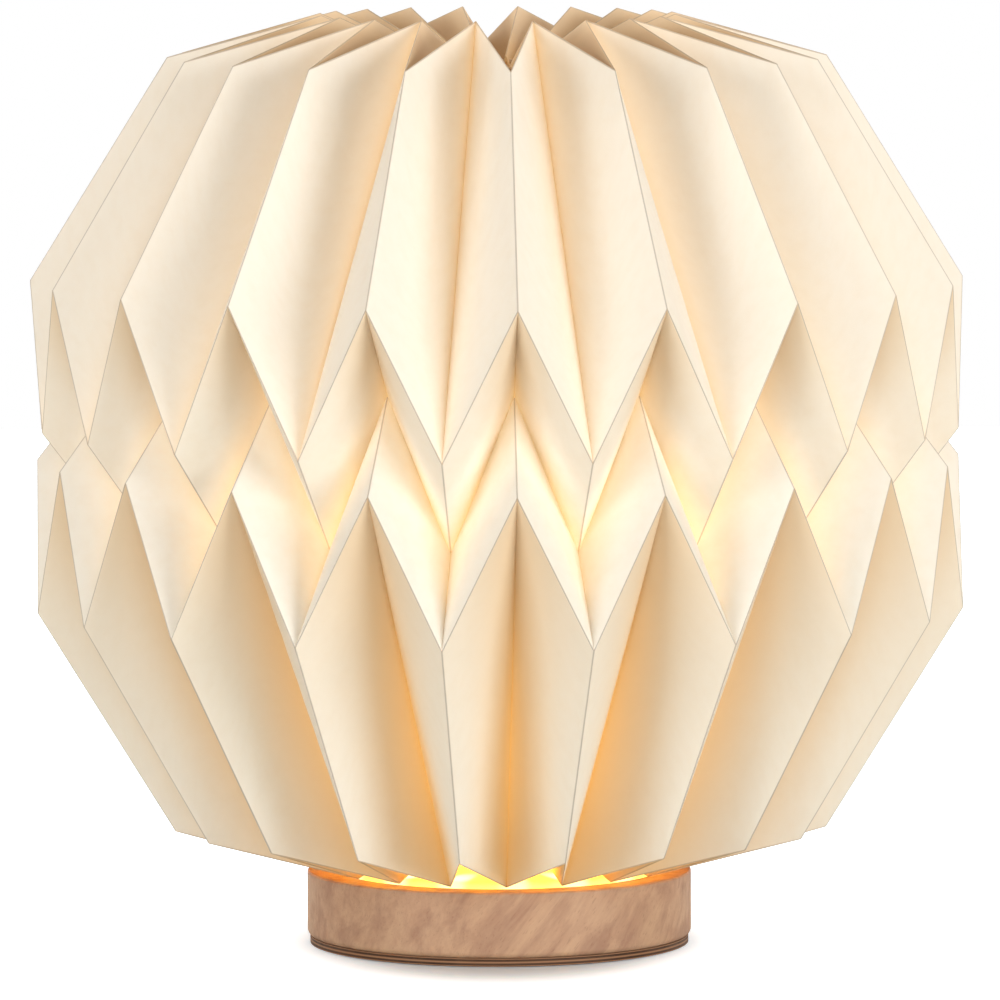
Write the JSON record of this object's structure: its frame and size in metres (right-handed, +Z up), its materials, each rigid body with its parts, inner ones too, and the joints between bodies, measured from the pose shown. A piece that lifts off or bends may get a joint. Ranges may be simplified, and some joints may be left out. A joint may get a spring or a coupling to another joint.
{
  "type": "pleated paper table lamp",
  "caption": "Table lamp with a round shade of zigzag-pleated paper that lifts off a low turned wood base holding a flat frosted light, a power inlet and a push button.",
  "frame": {"origin": "on the table, under the middle of the round base", "axes": "+Z up along the axis of the base and shade, -Y towards the front that the picture shows, +X to that view's right"},
  "size_m": [0.2424, 0.2424, 0.2424],
  "materials": {
    "paper": "uncoated heavy ivory paper, lit from inside",
    "string": "waxed cotton",
    "light_wood": "turned and oiled light wood",
    "dark_wood": "dark stained thin plywood",
    "screw_steel": "zinc plated",
    "frosted_plastic": "frosted translucent",
    "white_plastic": "matt white",
    "white_board": "white solder mask on aluminium",
    "light_chip": "phosphor",
    "green_board": "green solder mask",
    "black_plastic": "moulded",
    "capacitor_can": "bare can",
    "inlet_steel": "drawn steel shell",
    "brass": "brushed",
    "button_brass": "satin",
    "red_insulation": "insulated wire",
    "black_insulation": "insulated wire"
  },
  "bodies": {
    "base": {"wood_base": "light_wood", "base_plate": "dark_wood", "base_plate_screws": "screw_steel", "diffuser": "frosted_plastic", "reflector_tray": "white_plastic", "led_board": "white_board", "led_chips": "light_chip", "led_board_screws": "screw_steel", "driver_board": "green_board", "driver_board_screws": "screw_steel", "driver_chip": "black_plastic", "driver_coil": "black_plastic", "driver_capacitors": "capacitor_can", "power_inlet": "inlet_steel", "inlet_tongue": "black_plastic", "button_bushing": "brass", "switch_body": "black_plastic", "wire_positive": "red_insulation", "wire_negative": "black_insulation"},
    "shade": {"shade_sheet_front": "paper", "shade_sheet_right": "paper", "shade_sheet_back": "paper", "shade_sheet_left": "paper", "glue_tab_front": "paper", "glue_tab_right": "paper", "glue_tab_back": "paper", "glue_tab_left": "paper", "top_drawstring": "string", "bottom_drawstring": "string"},
    "button": {"power_button": "button_brass", "switch_plunger": "black_plastic"}
  },
  "joints": [
    {"name": "shade_lift", "type": "slide", "parent": "base", "child": "shade", "axis": [0, 0, 1], "range_m": [0, 0.12]},
    {"name": "button_press", "type": "slide", "parent": "base", "child": "button", "axis": [0.4695, -0.8829, 0], "range_m": [0, 0.001], "stiffness_N_per_m": 1500, "springref_m": -0.0003}
  ]
}
